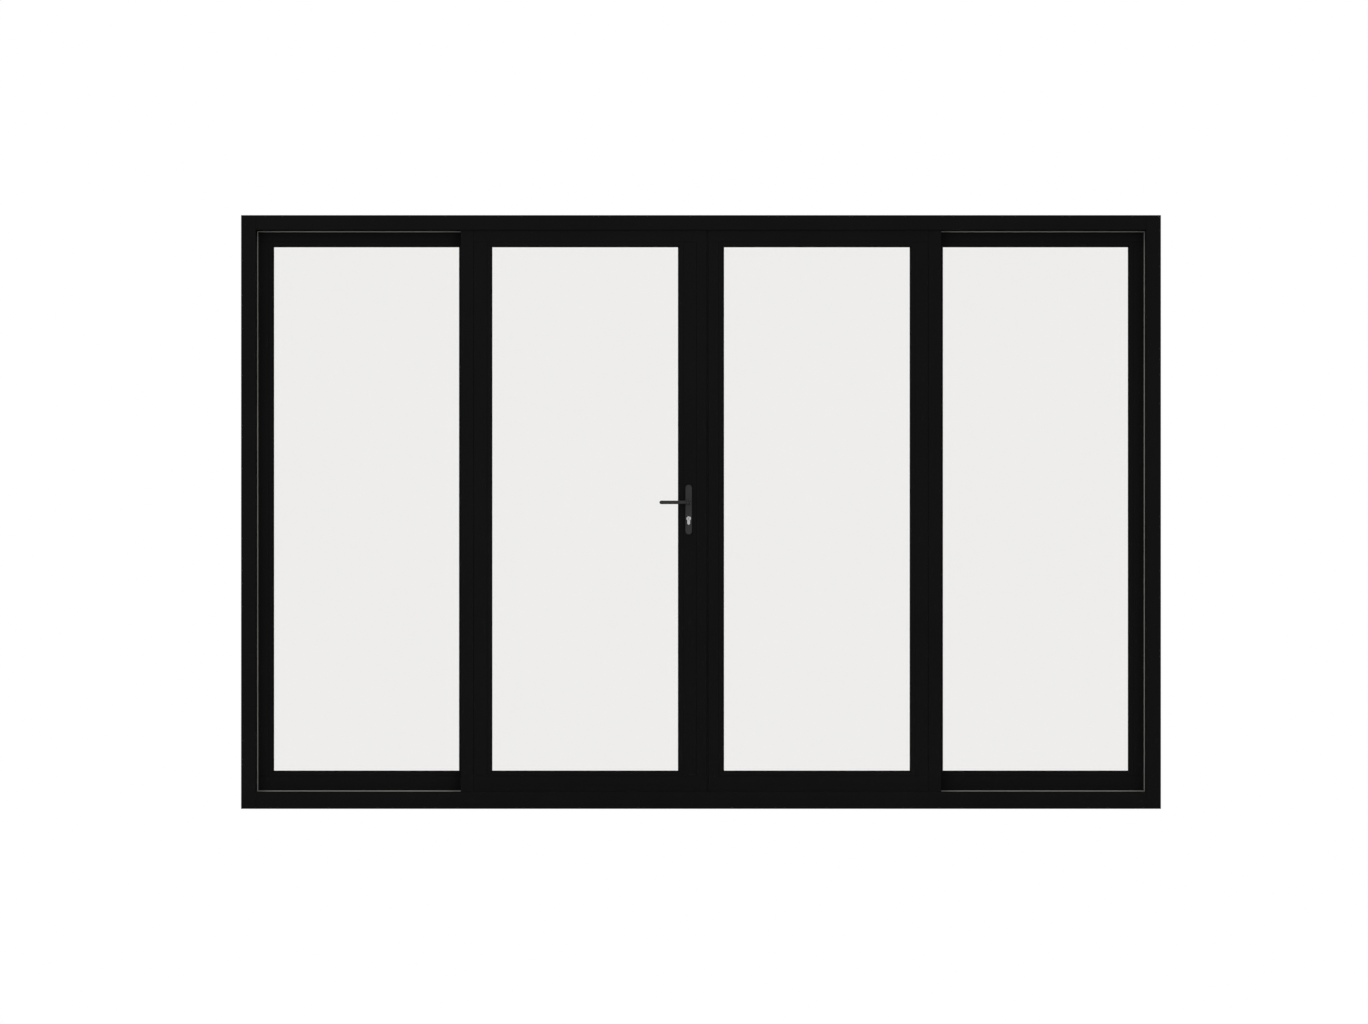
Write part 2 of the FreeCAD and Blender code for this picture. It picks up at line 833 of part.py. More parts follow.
# Sliding interlocks: a cover on the outer edge of each sliding panel with a hook behind it
def build_cover(panel):
    """Build the cover and its hook as one profile."""
    cover = new_body(f"{panel.name}_interlock")
    wall = s.channel_wall
    thin = s.hook_wall
    wide = s.interlock_cover
    back = s.sash_depth + s.plane_gap / 2 + s.run_gap
    lip_end = -wide + thin + s.hook_gap + s.hook_overlap
    outline = [
        (ZERO, ZERO),
        (-wide, ZERO),
        (-wide, back),
        (lip_end, back),
        (lip_end, back - thin),
        (-wide + thin, back - thin),
        (-wide + thin, wall),
        (-wall, wall),
        (-wall, s.sash_depth),
        (ZERO, s.sash_depth),
    ]
    panel.upright(cover, [eased(outline, (0, 1))], low_cover, high_cover)
    keep(panel.put(cover))


# Rollers: two carriages under each sliding panel, each with two wheels on the running rail
def build_rollers(panel):
    """Build the carriages with their axles and the wheels that turn on them."""
    solids = []
    middle = s.sash_depth / 2
    axle = rail_top + s.wheel_lift + s.wheel_radius - slider_foot
    cheek_near = s.wheel_width / 2 + s.carriage_gap
    cheek_far = cheek_near + s.carriage_cheek
    top = s.roller_channel - s.fit_gap
    for centre in (s.roller_inset, panel.width - s.roller_inset):
        carriage = new_body(f"{panel.name}_carriage")
        half = s.carriage_length / 2
        section = [
            (middle - cheek_far, axle - s.wheel_radius / 2),
            (middle - cheek_near, axle - s.wheel_radius / 2),
            (middle - cheek_near, axle + s.wheel_radius + s.carriage_gap),
            (middle + cheek_near, axle + s.wheel_radius + s.carriage_gap),
            (middle + cheek_near, axle - s.wheel_radius / 2),
            (middle + cheek_far, axle - s.wheel_radius / 2),
            (middle + cheek_far, top),
            (middle - cheek_far, top),
        ]
        panel.along(carriage, [section], centre - half, centre + half)
        for offset in (-(s.wheel_pitch / 2), s.wheel_pitch / 2):
            reach = turned(-panel.side, centre + offset)
            pin = [(reach, axle, s.axle_radius)]
            round_bar(carriage, "XZ_Plane", pin, middle - cheek_far, middle + cheek_far)
            wheel = new_body(f"{panel.name}_wheel")
            half_wheel = s.wheel_width / 2
            rings = [(reach, axle, s.wheel_radius), (reach, axle, s.axle_radius + s.fit_gap)]
            round_bar(wheel, "XZ_Plane", rings, middle - half_wheel, middle + half_wheel)
            solids.append(panel.put(wheel))
        solids.append(panel.put(carriage))
    return keep(gather(f"{panel.name}_rollers", solids))


for panel in slider_panels:
    build_cover(panel)
    build_rollers(panel)

# Meeting stile of the left panel, bored for the spindle and the lock cylinder
left_panel = slider_panels[0]
meeting = left_panel.build_stile("left_slider_meeting_stile", False, False)
plate_x = left_panel.width - (s.spindle_x - s.meeting_offset)
spindle_height = s.spindle_z - slider_foot
cylinder_height = spindle_height - s.cylinder_drop


def euro_profile(margin):
    """Return the round of the lock cylinder and its tail as drawing steps."""
    radius = s.cylinder_radius + margin
    tail = s.cylinder_tail + margin
    foot = cylinder_height - s.cylinder_tail_drop

    def draw_round(sketch):
        """Draw the round that holds the plug."""
        draw_circle(sketch, plate_x, cylinder_height, radius)

    def draw_tail(sketch):
        """Draw the narrower tail below the round."""
        draw_link(sketch, plate_x, cylinder_height, tail, plate_x, foot, tail)

    return draw_round, draw_tail


def draw_spindle_hole(radius):
    """Return the drawing step of a round hole on the spindle line."""

    def draw(sketch):
        """Draw the hole."""
        draw_circle(sketch, plate_x, spindle_height, radius)

    return draw


spindle_bore = s.spindle_side * math.sqrt(0.5) + s.fit_gap
for draw in euro_profile(s.fit_gap):
    cut_through(meeting, draw, -s.run_gap, s.sash_depth + s.run_gap)
cut_through(meeting, draw_spindle_hole(spindle_bore), -s.run_gap, s.sash_depth + s.run_gap)


# Astragal: the cover on the meeting edge of the left panel, with a tongue for the groove of the right one
def build_astragal():
    """Build the hollow cover and its tongue."""
    astragal = new_body("astragal")
    wall = s.astragal_wall
    near_side = left_panel.width
    far_side = near_side + s.meeting_offset + s.astragal_edge
    outline = rect(near_side, ZERO, far_side, s.sash_depth)
    chamber = rect(near_side + wall, wall, far_side - wall, s.sash_depth - wall)
    left_panel.upright(astragal, [eased(outline, (1,)), chamber], low_cover, high_cover)
    keep(left_panel.put(astragal))
    tongue = new_body("astragal_tongue")
    middle = s.sash_depth / 2
    half_tongue = s.tongue_depth / 2
    outline = rect(far_side, middle - half_tongue, far_side + s.tongue_length, middle + half_tongue)
    left_panel.upright(tongue, [eased(outline, (1, 2))], low_cover, high_cover)
    keep(left_panel.put(tongue))


def build_plate(label, near, far, face):
    """Build one round-ended back plate, bevelled, with holes for the neck and the cylinder."""
    plate = new_body(label)
    half = s.plate_width / 2
    top = spindle_height + s.plate_above - half
    foot = spindle_height - s.plate_below + half
    link_bar(plate, (plate_x, top, half, plate_x, foot, half), near, far)
    dress_edges(plate, "Chamfer", edges_where(plate, lambda point: is_near(point.y, face)), s.plate_bevel)
    for draw in euro_profile(s.fit_gap):
        cut_through(plate, draw, near - s.run_gap, far + s.run_gap)
    cut_through(plate, draw_spindle_hole(s.neck_radius + s.neck_play), near - s.run_gap, far + s.run_gap)
    return left_panel.put(plate)


def build_cylinder():
    """Build the lock cylinder: a round with a narrower tail below it, through the stile and both plates."""
    cylinder = new_body("lock_cylinder")
    near = -(s.plate_thick + s.cylinder_proud)
    far = s.sash_depth + s.plate_thick + s.cylinder_proud
    round_bar(cylinder, "XZ_Plane", [(plate_x, cylinder_height, s.cylinder_radius)], near, far)
    foot = cylinder_height - s.cylinder_tail_drop
    tail = (plate_x, cylinder_height, s.cylinder_tail, plate_x, foot, s.cylinder_tail)
    link_bar(cylinder, tail, near, far)
    keep(left_panel.put(cylinder))


def build_lever(label, root, out):
    """Build one lever on a face of the panel: a tapered arm with rounded edges, then its neck."""
    lever = new_body(label)

    def levels(near, far):
        """Return two distances from the face as depths, the smaller one first."""
        return (root + near, root + far) if out > 0 else (root - far, root - near)

    arm_back = s.plate_thick + s.neck_length - s.lever_thick
    low, high = levels(arm_back, arm_back + s.lever_thick)
    tip = plate_x - (s.lever_reach - s.lever_tip)
    ends = (tip, spindle_height, s.lever_tip, plate_x, spindle_height, s.lever_root)
    link_bar(lever, ends, low, high)
    rims = []
    for face in (low, high):
        rims.extend(edges_where(lever, lambda point, face=face: is_near(point.y, face)))
    dress_edges(lever, "Fillet", rims, s.lever_round)
    low, high = levels(s.fit_gap, arm_back + s.lever_thick / 2)
    round_bar(lever, "XZ_Plane", [(plate_x, spindle_height, s.neck_radius)], low, high)
    return left_panel.put(lever)


def build_spindle():
    """Build the square bar that joins the two levers."""
    spindle = new_body("spindle")
    half = s.spindle_side / 2
    square = rect(plate_x - half, spindle_height - half, plate_x + half, spindle_height + half)
    bar(spindle, "XZ_Plane", [square], ZERO, s.sash_depth)
    return left_panel.put(spindle)


# Handle set: back plates, lock cylinder and the sprung lever on both faces of the left panel
build_astragal()
plate_front = -s.plate_thick
plate_rear = s.sash_depth + s.plate_thick
front_plate = build_plate("front_plate", plate_front, ZERO, plate_front)
rear_plate = build_plate("rear_plate", s.sash_depth, plate_rear, plate_rear)
keep(gather("handle_plates", [front_plate, rear_plate]))
build_cylinder()
front_lever = build_lever("front_lever", ZERO, -1)
rear_lever = build_lever("rear_lever", s.sash_depth, 1)
keep(gather("lever_handle", [front_lever, rear_lever, build_spindle()]))

# Check every object, then write one file per sub-part
doc.recompute()
for item in doc.Objects:
    if "Invalid" in item.State or "Error" in item.State:
        raise RuntimeError(f"{item.Label} is in state {item.State}")
for item in nodes:
    if item.Shape.isNull() or not item.Shape.isValid():
        raise RuntimeError(f"{item.Label} has no valid shape")
    item.Shape.exportStep(f"parts/{item.Label}.step")
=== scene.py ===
"""Looks of the glass sliding patio door: finishes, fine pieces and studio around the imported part."""

import json
import logging
import math
from dataclasses import dataclass, field
from enum import Enum

import bmesh
import bpy
import numpy as np
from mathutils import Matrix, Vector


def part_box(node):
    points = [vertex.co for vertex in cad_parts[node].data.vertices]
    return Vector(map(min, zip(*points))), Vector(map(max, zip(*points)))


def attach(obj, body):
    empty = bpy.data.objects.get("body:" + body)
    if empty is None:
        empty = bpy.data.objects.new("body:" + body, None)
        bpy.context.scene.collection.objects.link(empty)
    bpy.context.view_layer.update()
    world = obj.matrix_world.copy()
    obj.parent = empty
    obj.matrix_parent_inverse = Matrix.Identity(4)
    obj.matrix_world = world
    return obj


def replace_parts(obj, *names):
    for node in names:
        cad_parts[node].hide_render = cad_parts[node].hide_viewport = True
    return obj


LOG = logging.getLogger("patio_door")

# Sockets of the colour mixing node
MIX_FIRST, MIX_SECOND, MIX_RESULT = 6, 7, 2

# Range that a noise pattern mostly stays in
NOISE_LOW, NOISE_HIGH = 0.3, 0.7

# Patterns of a finish: cells in a metre and octaves of its clouds, grain and sheen, and the sheen's swing
CLOUD_SCALE, CLOUD_DETAIL = 2.3, 4.0
GRAIN_DETAIL = 2.0
SHEEN_SCALE, SHEEN_DETAIL, SHEEN_SWING = 9.0, 5.0, 0.12

# Pattern of the film on a pane
FILM_SCALE, FILM_DETAIL = 1.7, 2.0

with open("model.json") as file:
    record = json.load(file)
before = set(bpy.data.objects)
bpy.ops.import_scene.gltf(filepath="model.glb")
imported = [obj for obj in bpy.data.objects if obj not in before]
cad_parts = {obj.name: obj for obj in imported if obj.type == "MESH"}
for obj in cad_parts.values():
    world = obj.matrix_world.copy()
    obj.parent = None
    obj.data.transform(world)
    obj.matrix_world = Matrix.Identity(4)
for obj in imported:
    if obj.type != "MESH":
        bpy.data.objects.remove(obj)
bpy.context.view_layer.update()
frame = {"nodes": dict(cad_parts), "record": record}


class Body(Enum):
    """Rigid bodies of the door."""

    FRAME = "frame"
    LEFT_SLIDER = "left_slider"
    RIGHT_SLIDER = "right_slider"
    LEVER = "lever"


class Graph:
    """A short way of writing a shader's nodes and links."""

    def __init__(self, tree: bpy.types.NodeTree) -> None:
        """Empty the tree and keep it.

        Args:
            tree: Node tree of a material or world.
        """
        tree.nodes.clear()
        self.tree = tree

    def add(self, kind: str, inputs: dict | None = None, **settings: object) -> bpy.types.Node:
        """Add a node, set its properties and fill its inputs with values or links.

        Args:
            kind: Node type without the ShaderNode prefix.
            inputs: Input name or index to a value or an output socket.
            settings: Properties of the node.

        Returns:
            The new node.
        """
        node = self.tree.nodes.new(f"ShaderNode{kind}")
        for name, value in settings.items():
            setattr(node, name, value)
        for name, value in (inputs or {}).items():
            if isinstance(value, bpy.types.NodeSocket):
                self.tree.links.new(value, node.inputs[name])
            else:
                node.inputs[name].default_value = value
        return node

    def noise(
        self, scale: float, detail: float, stretch: tuple[float, float, float] = (1, 1, 1)
    ) -> bpy.types.NodeSocket:
        """Add a noise pattern over the piece's own coordinates.

        Args:
            scale: Pattern cells in a metre.
            detail: Octaves of the noise.
            stretch: Factor on the coordinates along each axis.

        Returns:
            The noise value's socket.
        """
        place = self.add("TexCoord").outputs["Object"]
        turned = self.add("Mapping", {"Vector": place, "Scale": stretch}).outputs[0]
        return self.add("TexNoise", {"Vector": turned, "Scale": scale, "Detail": detail}).outputs[0]

    def between(self, value: bpy.types.NodeSocket, low: float, high: float) -> bpy.types.NodeSocket:
        """Spread the usual range of a pattern over another range.

        Args:
            value: Pattern socket.
            low: Result at the pattern's low end.
            high: Result at its high end.

        Returns:
            The ranged value's socket.
        """
        ranged = {
            "Value": value,
            "From Min": NOISE_LOW,
            "From Max": NOISE_HIGH,
            "To Min": low,
            "To Max": high,
        }
        return self.add("MapRange", ranged).outputs[0]

    def mix(self, factor: bpy.types.NodeSocket, first: tuple, second: tuple) -> bpy.types.NodeSocket:
        """Mix two colours by a pattern.

        Args:
            factor: Pattern socket.
            first: Colour at 0.
            second: Colour at 1.

        Returns:
            The mixed colour's socket.
        """
        node = self.add("Mix", data_type="RGBA")
        self.tree.links.new(factor, node.inputs[0])
        node.inputs[MIX_FIRST].default_value = (*first, 1.0)
        node.inputs[MIX_SECOND].default_value = (*second, 1.0)
        return node.outputs[MIX_RESULT]


def shade(colour: tuple[float, float, float], factor: float) -> tuple[float, float, float]:
    """Return a colour made lighter or darker by a factor."""
    return tuple(min(1.0, c * factor) for c in colour)


@dataclass(frozen=True)
class Finish:
    """A solid surface with a slightly uneven colour, gloss and grain."""

    name: str
    colour: tuple[float, float, float]
    roughness: float = 0.5
    metallic: float = 0.0
    specular: float = 0.5
    drift: float = 0.15
    grain_scale: float = 700.0
    grain_depth: float = 0.00002
    stretch: tuple[float, float, float] = (1.0, 1.0, 1.0)

    def build(self) -> bpy.types.Material:
        """Make the material.

        Returns:
            The finished material.
        """
        material = bpy.data.materials.new(self.name)
        material.use_nodes = True
        graph = Graph(material.node_tree)
        cloud = graph.between(graph.noise(CLOUD_SCALE, CLOUD_DETAIL), 0.0, 1.0)
        grain = graph.noise(self.grain_scale, GRAIN_DETAIL, self.stretch)
        colour = graph.mix(cloud, shade(self.colour, 1 - self.drift), shade(self.colour, 1 + self.drift))
        sheen = graph.noise(SHEEN_SCALE, SHEEN_DETAIL, self.stretch)
        swing = self.roughness * SHEEN_SWING
        rough = graph.between(sheen, self.roughness - swing, self.roughness + swing)
        bump = graph.add("Bump", {"Height": grain, "Distance": self.grain_depth, "Strength": 1.0})
        shader = graph.add(
            "BsdfPrincipled",
            {
                "Base Color": colour,
                "Roughness": rough,
                "Metallic": self.metallic,
                "Specular IOR Level": self.specular,
                "Normal": bump.outputs[0],
            },
        )
        graph.add("OutputMaterial", {"Surface": shader.outputs[0]})
        return material


@dataclass(frozen=True)
class Glazing:
    """A clear pane: a tinted transparent sheet with a thin mirror-like reflection."""

    name: str
    tint: tuple[float, float, float]
    ior: float = 1.45
    haze: float = 0.0008

    def build(self) -> bpy.types.Material:
        """Make the material.

        A flat pane lets light out at the angle at which it came in, so its back face mirrors as little as its
        front face. The index is turned over there, which undoes the reflection from inside that a thick block
        of glass would have.

        Returns:
            The finished material.
        """
        material = bpy.data.materials.new(self.name)
        material.use_nodes = True
        graph = Graph(material.node_tree)
        film = graph.between(graph.noise(FILM_SCALE, FILM_DETAIL), 0.0, 1.0)
        tint = graph.mix(film, self.tint, shade(self.tint, 1.0 + self.haze))
        clear = graph.add("BsdfTransparent", {"Color": tint})
        mirror = graph.add("BsdfGlossy", {"Roughness": 0.0})
        back = graph.add("NewGeometry").outputs["Backfacing"]
        index = graph.add("MapRange", {"Value": back, "To Min": self.ior, "To Max": 1 / self.ior})
        edge = graph.add("Fresnel", {"IOR": index.outputs[0]})
        sheet = graph.add("MixShader", {0: edge.outputs[0], 1: clear.outputs[0], 2: mirror.outputs[0]})
        graph.add("OutputMaterial", {"Surface": sheet.outputs[0]})
        return material


@dataclass(frozen=True)
class Palette:
    """The door's finishes by the record's material slot."""

    finishes: dict[str, Finish | Glazing] = field(
        default_factory=lambda: {
            "black_frame": Finish("black_frame_coat", (0.0027, 0.0027, 0.0028), 0.4, specular=0.045),
            "clear_glass": Glazing("clear_glass_pane", (0.973, 0.971, 0.967)),
            "spacer_bar": Finish("spacer_bar_matt", (0.02, 0.02, 0.02), 0.6, specular=0.3),
            # Black rubber also serves as painted shade: the films in the lock cylinder's plug gap and keyway
            # and in the screw slots.
            "black_rubber": Finish(
                "black_rubber_matt", (0.004, 0.004, 0.004), 0.75, specular=0.15, grain_scale=1200.0
            ),
            "grey_sealant": Finish(
                "grey_sealant_matt", (0.21, 0.205, 0.185), 0.7, specular=0.3, grain_scale=260.0
            ),
            "steel_rail": Finish(
                "steel_rail_brushed", (0.6, 0.6, 0.59), 0.3, 1.0, drift=0.06, stretch=(0.05, 1.0, 1.0)
            ),
            "roller_plastic": Finish("roller_plastic_matt", (0.03, 0.03, 0.031), 0.5, specular=0.4),
            "nickel": Finish("nickel_satin", (0.47, 0.465, 0.455), 0.3, 1.0, drift=0.03, grain_scale=1500.0),
            "plate_black": Finish("plate_dark_satin", (0.018, 0.018, 0.018), 0.38, specular=0.2),
            "lever_black": Finish("lever_dark_satin", (0.018, 0.018, 0.018), 0.34, specular=0.2),
        }
    )

    def build(self) -> dict[str, bpy.types.Material]:
        """Make every material.

        Returns:
            Material by slot name.
        """
        return {slot: finish.build() for slot, finish in self.finishes.items()}


def dress_nodes(materials: dict[str, bpy.types.Material]) -> None:
    """Give each node of the part the finish of its slot.

    Args:
        materials: Material by slot name.
    """
    for entry in frame["record"]["subparts"]:
        mesh = frame["nodes"][entry["node"]].data
        mesh.materials.clear()
        mesh.materials.append(materials[entry["material_slot"]])
        LOG.info("node %s wears %s", entry["node"], entry["material_slot"])


Point = tuple[float, float, float]
CIRCLE_STEPS = 24


@dataclass(frozen=True)
class Skin:
    """A grid of points: each row is one closed section, and the rows follow one another."""

    points: np.ndarray
    looped: bool = False

    def faces(self, start: int) -> list[list[int]]:
        """Join neighbouring rows with quads, and close both ends unless the rows form a loop.

        Args:
            start: Number of the grid's first point in the mesh.

        Returns:
            Point numbers of each face.
        """
        rows, columns, _ = self.points.shape
        row = np.arange(rows if self.looped else rows - 1)[:, None]
        column = np.arange(columns)[None, :]
        here, there = row * columns, ((row + 1) % rows) * columns
        after = (column + 1) % columns
        quads = np.stack([here + column, here + after, there + after, there + column], axis=-1)
        faces = (quads.reshape(-1, 4) + start).tolist()
        if not self.looped:
            ring = np.arange(columns) + start
            faces += [ring[::-1].tolist(), (ring + (rows - 1) * columns).tolist()]
        return faces


def bar_between(low: Point, high: Point) -> Skin:
    """Return a plain bar that runs along X between two corners."""
    near, far = np.array(low), np.array(high)
    share = np.array([[0, 0], [1, 0], [1, 1], [0, 1]])
    section = near[1:] + share * (far - near)[1:]
    rows = [np.column_stack([np.full(len(share), x), section]) for x in (near[0], far[0])]
    return Skin(np.stack(rows))


def frame_round(low: Point, high: Point, out: np.ndarray, depth: np.ndarray) -> Skin:
    """Carry a profile round an upright rectangle with mitred corners.

    A corner's section is the corner moved outwards by the profile's distance along X and Z alike, at the
    profile's depth. That makes the mitre.

    Args:
        low: Lower left corner of the rectangle; its depth isn't used.
        high: Upper right corner.
        out: Distance of each profile point outwards from the rectangle.
        depth: Place of each profile point along Y.

    Returns:
        Four sections that form a loop.
    """
    signs = np.array([[-1, -1], [1, -1], [1, 1], [-1, 1]])
    corners = np.array([[low[0], low[2]], [high[0], low[2]], [high[0], high[2]], [low[0], high[2]]])
    x = corners[:, :1] + signs[:, :1] * out
    z = corners[:, 1:] + signs[:, 1:] * out
    return Skin(np.stack([x, np.broadcast_to(depth, x.shape), z], axis=-1), looped=True)


def turned_about(
    centre: Point, axis: int, radii: np.ndarray, places: np.ndarray, looped: bool = False
) -> Skin:
    """Turn a profile about a line along one axis.

    A point is the centre, plus its radius times the cosine and sine of its angle on the two other axes, plus
    its place along the line.

    Args:
        centre: A point on the line.
        axis: Number of the axis that the line follows.
        radii: Radius of each ring.
        places: Place of each ring along the line.
        looped: Whether the last ring joins the first, as on an open ring.

    Returns:
        One row of points a ring.
    """
    angle = np.linspace(0.0, 2 * math.pi, CIRCLE_STEPS, endpoint=False)
    first, second = [number for number in range(3) if number != axis]
    points = np.broadcast_to(np.array(centre), (len(radii), CIRCLE_STEPS, 3)).copy()
    points[:, :, first] += radii[:, None] * np.cos(angle)
    points[:, :, second] += radii[:, None] * np.sin(angle)
    points[:, :, axis] += places[:, None]
    return Skin(points, looped)


class Kit:
    """What every fine piece needs: the finishes, and the way to add a piece to the door."""

    def __init__(self, materials: dict[str, bpy.types.Material]) -> None:
        """Keep the finishes.

        Args:
            materials: Material by slot name.
        """
        self.materials = materials

    def add(
        self, name: str, skins: list[Skin], body: Body, slot: str, smooth: bool = False
    ) -> bpy.types.Object:
        """Make one piece from skins and let it ride on a body.

        Args:
            name: Name of the piece.
            skins: Its surfaces, in place.
            body: Body that carries it.
            slot: Material slot that it takes its finish from.
            smooth: Whether it is shaded smooth.

        Returns:
            The new piece.
        """
        starts = np.cumsum([0] + [skin.points[..., 0].size for skin in skins[:-1]])
        faces = [face for skin, start in zip(skins, starts.tolist()) for face in skin.faces(start)]
        mesh = bpy.data.meshes.new(name)
        mesh.from_pydata(np.concatenate([skin.points.reshape(-1, 3) for skin in skins]).tolist(), [], faces)
        self.turn_outwards(mesh)
        mesh.materials.append(self.materials[slot])
        mesh.polygons.foreach_set("use_smooth", np.full(len(mesh.polygons), smooth))
        piece = bpy.data.objects.new(name, mesh)
        bpy.context.scene.collection.objects.link(piece)
        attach(piece, body.value)
        LOG.info("piece %s rides on %s, %d faces", name, body.value, len(mesh.polygons))
        return piece

    @staticmethod
    def turn_outwards(mesh: bpy.types.Mesh) -> None:
        """Make the faces of each closed surface point outwards.

        Args:
            mesh: Mesh whose faces are turned.
        """
        work = bmesh.new()
        work.from_mesh(mesh)
        bmesh.ops.recalc_face_normals(work, faces=work.faces)
        work.to_mesh(mesh)
        work.free()


@dataclass
class GlazingSeals:
    """Rubber gaskets on both faces of each glass unit, each with a rounded lip towards the glass."""

    kit: Kit
    glass_cover: float = 0.013
    width: float = 0.009
    nose: float = 0.0017
    nose_steps: int = 7

    def build(self) -> None:
        """Replace the plain gasket rings of every panel."""
        self.build_set("fixed_gaskets", ["left_fixed_glass", "right_fixed_glass"], Body.FRAME)
        self.build_set("left_slider_gaskets", ["left_slider_glass"], Body.LEFT_SLIDER)
        self.build_set("right_slider_gaskets", ["right_slider_glass"], Body.RIGHT_SLIDER)

    def build_set(self, node: str, glasses: list[str], body: Body) -> None:
        """Build the gaskets that stand for one node.

        Args:
            node: Node that they replace.
            glasses: Glass nodes that they seal.
            body: Body that carries them.
        """
        front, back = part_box(node)[0][1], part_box(node)[1][1]
        inset = np.array([self.glass_cover, 0.0, self.glass_cover])
        skins = []
        for glass in glasses:
            low, high = (np.array(corner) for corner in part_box(glass))
            for outer, inner in ((front, low[1]), (back, high[1])):
                out, depth = self.profile(outer, inner)
                skins.append(frame_round(low + inset, high - inset, out, depth))
        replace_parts(self.kit.add(f"{node}_rounded", skins, body, "black_rubber"), node)

    def profile(self, outer: float, inner: float) -> tuple[np.ndarray, np.ndarray]:
        """Return the gasket's section: flat on bead and glass, with a half-round nose on its visible edge.

        The nose goes from angle -90 to 90 degrees: its depth follows the sine between the two faces, and it
        stands back from the visible edge by the nose size times one less the cosine.

        Args:
            outer: Depth of the face on the bead or leg.
            inner: Depth of the face on the glass.

        Returns:
            Outward distance and depth of each point.
        """
        angle = np.linspace(-math.pi / 2, math.pi / 2, self.nose_steps)
        nose_out = self.nose * (1 - np.cos(angle))
        nose_depth = (outer + inner) / 2 + (inner - outer) / 2 * np.sin(angle)
        out = np.concatenate([[self.width], nose_out, [self.width]])
        return out, np.concatenate([[outer], nose_depth, [inner]])


@dataclass
class LipBrushes:
    """Brush strips behind the lips of sill and head, where the sliding panels run past."""

    kit: Kit
    lip_thick: float = 0.005
    sill_lip: float = 0.0623
    head_lip: float = 0.053
    jamb_lip: float = 0.053
    set_back: float = 0.004
    width: float = 0.006
    pile: float = 0.0046

    def build(self) -> None:
        """Lay one strip along the sill and one along the head."""
        low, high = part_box("front_lips")
        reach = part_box("right_jamb")[1][0] - self.jamb_lip
        near = low[1] + self.lip_thick
        sill_level = low[2] + self.sill_lip - self.set_back - self.width
        head_level = high[2] - self.head_lip + self.set_back
        skins = [
            bar_between((-reach, near, level), (reach, near + self.pile, level + self.width))
            for level in (sill_level, head_level)
        ]
        self.kit.add("lip_brushes", skins, Body.FRAME, "black_rubber")


@dataclass
class MeetingBrush:
    """The brush strip on the astragal that fills the front of the gap between the two sliding panels."""

    kit: Kit
    inset: float = 0.006
    width: float = 0.005
    pile: float = 0.0046

    def build(self) -> None:
        """Lay the strip up the whole astragal."""
        low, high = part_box("astragal")
        root, near = high[0], low[1] + self.inset
        strip = bar_between((root, near, low[2]), (root + self.pile, near + self.width, high[2]))
        self.kit.add("meeting_brush", [strip], Body.LEFT_SLIDER, "black_rubber")


